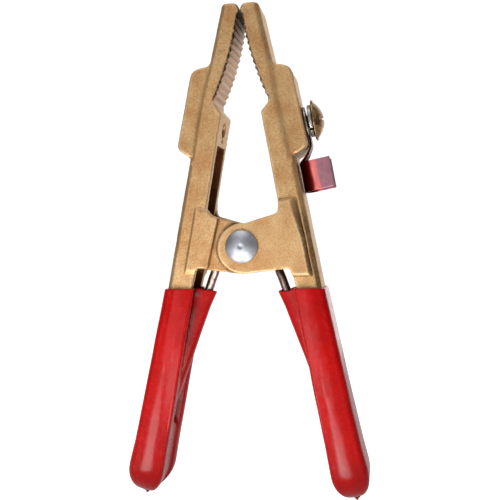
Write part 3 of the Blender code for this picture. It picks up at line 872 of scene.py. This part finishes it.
def grip_section(depth):
    """Closed (x, y) outline of a grip at a depth, from the back round to the open side."""
    back, edge, half = grip_outer(depth), grip_inner(depth), GRIP_HALF_DEPTH
    back_round = 3.5
    edge_round = 1.9
    turns = [share * pi / 2 for share in np.linspace(0, 1, 8)]
    side = [(back - back_round * (1 - cos(turn)), half - back_round * (1 - sin(turn)))
            for turn in turns[:-1]]
    width = back - back_round - edge - edge_round
    for share in np.linspace(0, 1, 11):
        side.append((back - back_round - share * width, half + GRIP_BULGE * sin(pi * share)))
    side += [(edge + edge_round * (1 - sin(turn)), half - edge_round * (1 - cos(turn)))
             for turn in turns[1:]]
    front = [(grip_front(share, depth), share * FILM_HALF_WIDTH)
             for share in np.linspace(1, -1, 49)[1:-1]]
    return side + front + [(x, -y) for x, y in reversed(side)]


def inset(points, distance):
    """Move a closed outline inwards by a distance."""
    here = np.array(points, float)
    run = np.roll(here, -1, 0) - np.roll(here, 1, 0)
    run /= np.linalg.norm(run, axis=1)[:, None]
    return here + distance * np.stack([-run[:, 1], run[:, 0]], 1)


def grip_ring(wall, depth, scale=1.0):
    """One closed section of a grip's skin, drawn in towards its middle line and tilted at the end."""
    middle = grip_middle(depth)
    flat = (inset(grip_section(depth), wall) - np.array([middle, 0.0])) * scale
    tilt = END_TILT * smooth(depth, 87.0, ROUND_START)
    return np.column_stack([flat[:, 0] + middle, flat[:, 1], flat[:, 0] * tilt - depth])


def mouth_dip(ring, amount):
    """Let the mouth's rim run a little lower where the film spans the channel."""
    middle = np.abs(ring[:, 1]) < FILM_HALF_WIDTH
    low = np.where(middle, amount * np.cos(ring[:, 1] / FILM_HALF_WIDTH * pi / 2) ** 0.8, 0.0)
    inner = ring[:, 0] < ring[:, 0].min() + 6.5
    ring[:, 2] -= np.where(inner, low, 0.0)
    return ring


def straight_row(wall, depth):
    """A section of a sleeve's straight part. The mouth's dip fades away below it."""
    ring = grip_ring(wall, depth)
    return mouth_dip(ring, MOUTH_DIP * max(0.0, 1 - (-ring[0, 2] - MOUTH_DEPTH) / MOUTH_DIP_LENGTH))


def rim_rows():
    """Sections round a sleeve's lip, from its inside to its outside."""
    rows = []
    for turn in np.linspace(0, pi, 5):
        wall = SLEEVE_WALL / 2 * (1 + cos(turn))
        depth = MOUTH_DEPTH + SLEEVE_WALL / 2 * (1 - sin(turn)) + 0.05
        rows.append(mouth_dip(grip_ring(wall, depth), MOUTH_DIP))
    return rows


def cap_rows(wall, end):
    """Sections of a sleeve's rounded end, down to a depth."""
    shares = [sin(pi / 2 * i / 18) for i in range(18)]
    return [grip_ring(wall, ROUND_START + (end - ROUND_START) * s, sqrt(1 - s * s)) for s in shares]


def drip_rows(ring, end):
    """Sections of the small drip below the last section of a sleeve's end."""
    rows = []
    for radius, below in ((2.6, 0.12), (1.7, 0.5), (1.2, 1.0), (0.85, 1.6), (0.45, 1.9)):
        middle = grip_middle(end + below)
        turn = np.arctan2(ring[:, 1], ring[:, 0] - middle)
        rows.append(np.column_stack([middle + radius * np.cos(turn), radius * np.sin(turn),
                                     np.full(len(ring), -(end + below))]))
    return rows


def film_shade(x, y, z):
    """How much painted shade a sleeve gets at a point: up to 1 in the film's valleys and at the folds
    near its mouth.
    """
    deep = x - grip_inner(-z)
    if abs(y) >= FILM_HALF_WIDTH or -z >= ROUND_START or deep >= 6:
        return 0.0
    fold_shade = smooth(deep, -2.6, 0.8) * (1 - smooth(-z, 30.0, 54.0))
    return max(smooth(deep, 0.8, 3.6), 0.9 * fold_shade)


def make_grip(name, node, seed):
    """A vinyl sleeve over a handle and the spring's leg, open at the top."""
    end = ROUND_START + ROUND_LENGTH
    inner_end = end - 2.0
    step = 1.1
    depths = [MOUTH_DEPTH + 0.9 + i * step for i in range(75)]
    lining = cap_rows(SLEEVE_WALL, inner_end)[::-1]
    lining += [straight_row(SLEEVE_WALL, d) for d in reversed(depths)]
    outside = [straight_row(0.0, d) for d in depths] + cap_rows(0.0, end)
    drip = drip_rows(outside[-1], end)
    rows = lining + rim_rows() + outside + drip
    faces = skin(rows)
    middle = grip_middle(end)
    points = np.concatenate(rows + [[[middle, 0, -inner_end], [middle, 0, -GRIP_END_DEPTH]]])
    count = len(rows[0])
    last = (len(rows) - 1) * count
    for i in range(count):
        j = (i + 1) % count
        faces.append((i, j, len(points) - 2))
        faces.append((last + i, last + j, len(points) - 1))
    # Painted shade for the film's valleys and folds, kept for the material
    valley = [film_shade(*point) for point in points]
    if name.startswith("left"):
        points = half_turn(points)
    piece = new_piece(name, points, faces)
    mesh = piece.data
    store(mesh, "valley", valley)
    here = coordinates(mesh)
    wave = 0.14 * lumps(here, 14.0, seed)
    wave[:len(lining) * count] = 0
    wave[-1 - len(drip) * count:] = 0
    set_coordinates(mesh, inside_box(here + normals(mesh) * (wave * MM)[:, None], node))
    return piece


# ---- terminal ----

def box_tool(name, size, matrix):
    """A cutting block, drawn round the hinge and moved by a matrix."""
    mesh = bpy.data.meshes.new(name)
    work = bmesh.new()
    bmesh.ops.create_cube(work, size=1.0)
    bmesh.ops.scale(work, vec=Vector(size) * MM, verts=work.verts)
    bmesh.ops.translate(work, vec=Vector((0, 0, HINGE_HEIGHT * MM)), verts=work.verts)
    work.to_mesh(mesh)
    work.free()
    return stand(new_object(name, mesh), matrix)


def cut(piece, tools, operation="DIFFERENCE"):
    """Cut or join tools with a piece, and remove them."""
    for tool in tools:
        change = piece.modifiers.new(tool.name, "BOOLEAN")
        change.operation = operation
        change.object = tool
        change.solver = "EXACT"
    apply_modifiers(piece)
    for tool in tools:
        bpy.data.objects.remove(tool)


def screw_profile(under, top):
    """(radius, height) points of a screw, down from its head, with close rows where its thread goes."""
    flange = under + 1.1
    rim = SCREW_HEAD_RADIUS
    profile = dome(rim - 1.0, under + SCREW_HEAD_HEIGHT - flange + 0.25, flange - 0.25, 22)
    profile += [(rim - 0.75, flange - 0.28), (rim - 0.3, flange), (rim - 0.06, flange - 0.18),
                (rim, flange - 0.42), (rim, under + 0.3), (rim - 0.3, under), (3.6, under),
                (SCREW_RADIUS, under - 0.3)]
    length = top - THREAD_END
    rows = round(length / THREAD_PITCH * 10)
    profile += [(SCREW_RADIUS, top - i * length / rows) for i in range(rows + 1)]
    return profile + [(SCREW_RADIUS - 0.5, SCREW_TIP + 0.5), (SCREW_RADIUS - 0.9, SCREW_TIP),
                      (0, SCREW_TIP)]


def roll_thread(screw, top):
    """Press a thread's groove into a screw's shank. It fades out towards the head."""
    points = coordinates(screw.data)
    height = (points[:, 2] - HINGE_HEIGHT * MM) / MM
    radius = np.hypot(points[:, 0], points[:, 1]) / MM
    turn = np.arctan2(points[:, 1], points[:, 0]) / (2 * pi)
    phase = (height / THREAD_PITCH - turn) % 1.0
    fade = np.clip((top - height) / 0.8, 0, 1)
    groove = THREAD_DEPTH * (0.5 + 0.5 * np.cos(2 * pi * phase)) * fade
    shank = (np.abs(radius - SCREW_RADIUS) < 0.02) & (height < top)
    factor = np.where(shank, (radius - groove) / np.maximum(radius, 0.01), 1.0)
    points[:, :2] *= factor[:, None]
    set_coordinates(screw.data, points)


def make_screw():
    """Truss-head screw with a slot, a cross recess and a rolled thread."""
    crease = 38
    recess = 3.4
    under = WASHER_SEAT + WASHER_THICKNESS + 0.2
    thread_top = under - 0.5
    screw = turned("screw", screw_profile(under, thread_top), 72, smooth_angle=crease)
    roll_thread(screw, thread_top)
    head_top = Matrix.Translation((0, 0, under + SCREW_HEAD_HEIGHT))
    cut(screw, [box_tool("screw_slot", (1.6, 24.0, recess), head_top),
                box_tool("screw_cross", (8.0, 1.6, recess), head_top)])
    screw.data.set_sharp_from_angle(angle=radians(crease))
    return stand(screw, aimed(SCREW_POINT, SCREW_ANGLE))


def make_washer():
    """Split spring washer, slightly sprung open along its axis."""
    count = 120
    gap = radians(9)
    gap_turn = -0.9
    corner = 0.28
    spring_rise = 0.16
    section = []
    for quarter, (u, v) in enumerate(((1, 1), (-1, 1), (-1, -1), (1, -1))):
        for k in range(4):
            turn = pi / 2 * quarter + pi / 2 * k / 3
            section.append((u, v, corner * cos(turn), corner * sin(turn)))
    middle = (WASHER_RADIUS + WASHER_HOLE_RADIUS) / 2
    half_width = (WASHER_RADIUS - WASHER_HOLE_RADIUS) / 2 - corner
    half_height = WASHER_THICKNESS / 2 - corner - spring_rise / 2
    rings = []
    for i in range(count + 1):
        share = i / count
        turn = gap / 2 + (2 * pi - gap) * share + gap_turn
        level = WASHER_SEAT + WASHER_THICKNESS / 2 + spring_rise * (share - 0.5)
        ring = []
        for u, v, du, dv in section:
            radius = middle + u * half_width + du
            ring.append((radius * cos(turn), radius * sin(turn), level + v * half_height + dv))
        rings.append(ring)
    points = [p for ring in rings for p in ring]
    size = len(section)
    faces = skin(rings) + [tuple(range(size)), tuple(range(len(points) - size, len(points)))]
    washer = new_piece("washer", points, faces, 40)
    return stand(washer, aimed(SCREW_POINT, SCREW_ANGLE))


def lug_rows():
    """Rows across the lug's sheet, from the ring down: (up, out, half width, bend radius)."""
    seat = GAP + LUG_THICKNESS / 2
    rows = [(-6.0, seat, 4.0, 60.0), (-11.0, seat, 4.0, 60.0), (-13.4, seat - 0.2, 4.0, 60.0),
            (-15.4, seat - 1.5, 4.2, 24.0), (-17.8, seat - 3.8, 4.6, 10.0)]
    for share in (0.0, 0.5, 1.0):
        up = BARREL_START - BARREL_LENGTH * share
        floor = BARREL_FLOOR + (up - BARREL_START) * tan(SHOULDER_ANGLE - BAR_ANGLE)
        rows.append((up, floor, 0.0, BARREL_RADIUS))
    return rows


def sheet_points(half_width, radius, count):
    """(sideways, rise) points of a bent sheet, edge to edge."""
    shares = np.linspace(-1, 1, count)
    reach = half_width / radius
    return np.stack([radius * np.sin(reach * shares), radius * (1 - np.cos(reach * shares))], 1)


def lug_sheet(name, rows, count):
    """A sheet through rows of (sideways, rise) points, with more rows between them."""
    lines = []
    for up, out, section in rows:
        lines.append([(*along(SHOULDER_POINT, SHOULDER_ANGLE, out + rise, up), across)
                      for across, rise in section])
    fine = [flowing([line[k] for line in lines], 0.8) for k in range(count)]
    steps = min(len(f) for f in fine)
    fine = [[f[round(i * (len(f) - 1) / (steps - 1))] for i in range(steps)] for f in fine]
    points = [(fine[k][i][0], fine[k][i][2], fine[k][i][1]) for i in range(steps) for k in range(count)]
    faces = [(i * count + k, i * count + k + 1, (i + 1) * count + k + 1, (i + 1) * count + k)
             for i in range(steps - 1) for k in range(count - 1)]
    sheet = new_piece(name, points, faces)
    thick = sheet.modifiers.new("sheet", "SOLIDIFY")
    thick.thickness = LUG_THICKNESS * MM
    thick.offset = 0
    apply_modifiers(sheet)
    return sheet


def make_lug():
    """Open-barrel cable lug: ring, neck and a U-shaped barrel that opens outwards."""
    neck_count = 15
    round_count = 31
    wall_count = 9
    neck = []
    barrel = []
    for up, out, half_width, radius in lug_rows():
        if half_width:
            neck.append((up, out, sheet_points(half_width, radius, neck_count)))
            continue
        bend = [tuple(p) for p in sheet_points(radius * pi / 2, radius, round_count)]
        heights = np.linspace(radius + 0.6, BARREL_HEIGHT, wall_count)
        walls = [[(side * radius, h) for h in heights] for side in (-1, 1)]
        barrel.append((up, out, walls[0][::-1] + bend + walls[1]))
    up, out, _ = barrel[0]
    neck.append((up, out, sheet_points(5.2, BARREL_RADIUS, neck_count)))
    neck.append((up - 1.5, out - 0.02, sheet_points(5.4, BARREL_RADIUS, neck_count)))
    body = lug_sheet("lug", neck, neck_count)
    channel = lug_sheet("lug_barrel", barrel, round_count + 2 * wall_count)
    low = GAP
    high = low + LUG_THICKNESS
    ring = turned("lug_ring", [(LUG_RING_RADIUS, high), (LUG_RING_RADIUS, low), (WASHER_HOLE_RADIUS, low),
                               (WASHER_HOLE_RADIUS, high)], 72, closed=True)
    stand(ring, aimed(along(SHOULDER_POINT, SHOULDER_ANGLE, 0, -1.9), SHOULDER_ANGLE))
    cut(body, [channel, ring], "UNION")
    voxel_skin(body, LUG_VOXEL)
    mesh = body.data
    set_coordinates(mesh, relax(coordinates(mesh), edge_ends(mesh), 4))
    mesh.shade_smooth()
    return body


# ---- scene ----

def make_camera():
    """Camera at the reference angle, without shift or depth of field."""
    turn = radians(9.53)
    drop = radians(0.23)
    roll = radians(-0.76)
    ahead = Vector((-sin(turn) * cos(drop), cos(turn) * cos(drop), -sin(drop)))
    right = Vector((cos(turn), sin(turn), 0))
    up = right.cross(ahead)
    level = cos(roll) * right + sin(roll) * up
    upright = -sin(roll) * right + cos(roll) * up
    data = bpy.data.cameras.new("camera")
    data.lens = 59.04
    data.sensor_width = 36
    data.clip_start = 0.02
    data.clip_end = 20
    camera = new_object("camera", data)
    matrix = Matrix((level, upright, -ahead)).transposed().to_4x4()
    matrix.translation = (0.064756, -0.377445, HINGE_HEIGHT * MM - 0.000084)
    camera.matrix_world = matrix
    bpy.context.scene.camera = camera


def softbox(name, place, target, width, height, power, color=(1, 1, 1)):
    """A rectangular light that faces a point."""
    data = bpy.data.lights.new(name, "AREA")
    data.shape = "RECTANGLE"
    data.size = width
    data.size_y = height
    data.energy = power
    data.color = color
    light = new_object(name, data)
    light.location = place
    light.rotation_euler = (Vector(target) - Vector(place)).to_track_quat("-Z", "Y").to_euler()
    return light


def low_strip(name, start, end, width, power):
    """A narrow light that shines up from a line between two (x, y) places, near the grips' ends."""
    height = cad_box[0].z + 0.002
    start = Vector((*start, height))
    end = Vector((*end, height))
    middle = (start + end) / 2
    light = softbox(name, middle, middle + Vector((0, 0, 1)), width, (end - start).length, power)
    run = end - start
    light.rotation_euler = (pi, 0, atan2(run.y, run.x) + pi / 2)


def make_world():
    """White surroundings: bright for the camera, and for the clamp mostly from behind it."""
    bands = (("Y", 0.35, 0.92, 1.6), ("Y", -0.55, -0.98, 0.2), ("Z", 0.1, 0.9, 0.16))
    strength = 0.06
    camera_strength = 1.1
    world = bpy.data.worlds.new("studio")
    bpy.context.scene.world = world
    world.use_nodes = True
    graph = Graph(world.node_tree, "Generated")
    for letter, low, high, amount in bands:
        strength = graph.math("ADD", graph.span(graph.axis(letter), low, high, 0.0, amount), strength)
    chosen = graph.node("ShaderNodeMix")
    graph.link(graph.node("ShaderNodeLightPath").outputs["Is Camera Ray"], chosen.inputs["Factor"])
    graph.link(strength, chosen.inputs["A"])
    chosen.inputs["B"].default_value = camera_strength
    shade = graph.tree.nodes["Background"]
    graph.link(chosen.outputs["Result"], shade.inputs["Strength"])
    shade.inputs["Color"].default_value = (1, 1, 1, 1)


def make_floor():
    """Plain pale floor, low enough for a grip that swings down. It is brighter for the camera."""
    low = cad_box[0].z - 0.009
    mesh = bpy.data.meshes.new("floor")
    work = bmesh.new()
    bmesh.ops.create_grid(work, x_segments=8, y_segments=8, size=0.9)
    bmesh.ops.translate(work, verts=work.verts, vec=Vector((0, 0, low)))
    work.to_mesh(mesh)
    work.free()
    paint = Paint("floor", 0.9, 0.0)
    paint.shader.inputs["Base Color"].default_value = (0.5, 0.5, 0.5, 1)
    paint.shader.inputs["Emission Color"].default_value = (1, 1, 1, 1)
    seen = paint.node("ShaderNodeLightPath").outputs["Is Camera Ray"]
    paint.link(paint.span(seen, 0.0, 1.0, 0.35, 0.95), paint.shader.inputs["Emission Strength"])
    mesh.materials.append(paint.material)
    new_object("floor", mesh)


def finish_piece(piece, body, node, material):
    """Give a piece its material and body, and hide its CAD node."""
    piece.data.materials.clear()
    piece.data.materials.append(material)
    if body:
        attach(piece, body)
    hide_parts(node)


def main():
    """Make the camera, the surroundings, the lights and the clamp's pieces."""
    bpy.context.scene.view_settings.view_transform = "Standard"
    make_camera()
    make_world()
    make_floor()
    softbox("top", (-0.15, -0.25, 0.75), (0, 0, 0), 0.7, 0.5, 2.4)
    softbox("front_left", (-0.45, -1.0, 0.15), (0, 0, 0.0), 0.5, 0.6, 1.7)
    softbox("right_high", (0.5, -0.12, 0.3), (0.01, 0, 0.09), 0.25, 0.25, 0.16, (1.0, 0.93, 0.88))
    low_strip("left_strip", (-0.06, -0.05), (-0.2, -0.5), 0.03, 0.56)
    low_strip("right_strip", (0.04, -0.05), (-0.07, -0.5), 0.022, 0.56)

    brass = cast_brass()
    for side, seed in (("right", 3), ("left", 11)):
        node = side + "_lever"
        finish_piece(cast_lever(side + "_casting", node, seed), side, node, brass)
    silver = zinc("rivet_steel", srgb(162, 165, 172), srgb(184, 186, 192), 0.48)
    grey = zinc("washer_steel", srgb(136, 136, 128), srgb(176, 176, 168), 0.4)
    dull = zinc("wire_steel", srgb(120, 102, 96), srgb(172, 152, 146), 0.3, 5.0)
    finish_piece(make_rivet(), "left", "hinge_rivet", silver)
    finish_piece(make_bush(), "left", "spring_bush", dull)
    wire = tube("spring", flowing(spring_path(), 0.6), WIRE_RADIUS, 24)
    finish_piece(wire, None, "torsion_spring", dull)
    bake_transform(wire)
    vinyl = red_vinyl()
    for side, seed in (("right", 5), ("left", 9)):
        node = side + "_grip"
        finish_piece(make_grip(side + "_sleeve", node, seed), side, node, vinyl)
    finish_piece(make_screw(), "right", "terminal_screw", bronze())
    finish_piece(make_washer(), "right", "lock_washer", grey)
    finish_piece(make_lug(), "right", "cable_lug", tinted_copper())


main()
bpy.context.view_layer.update()
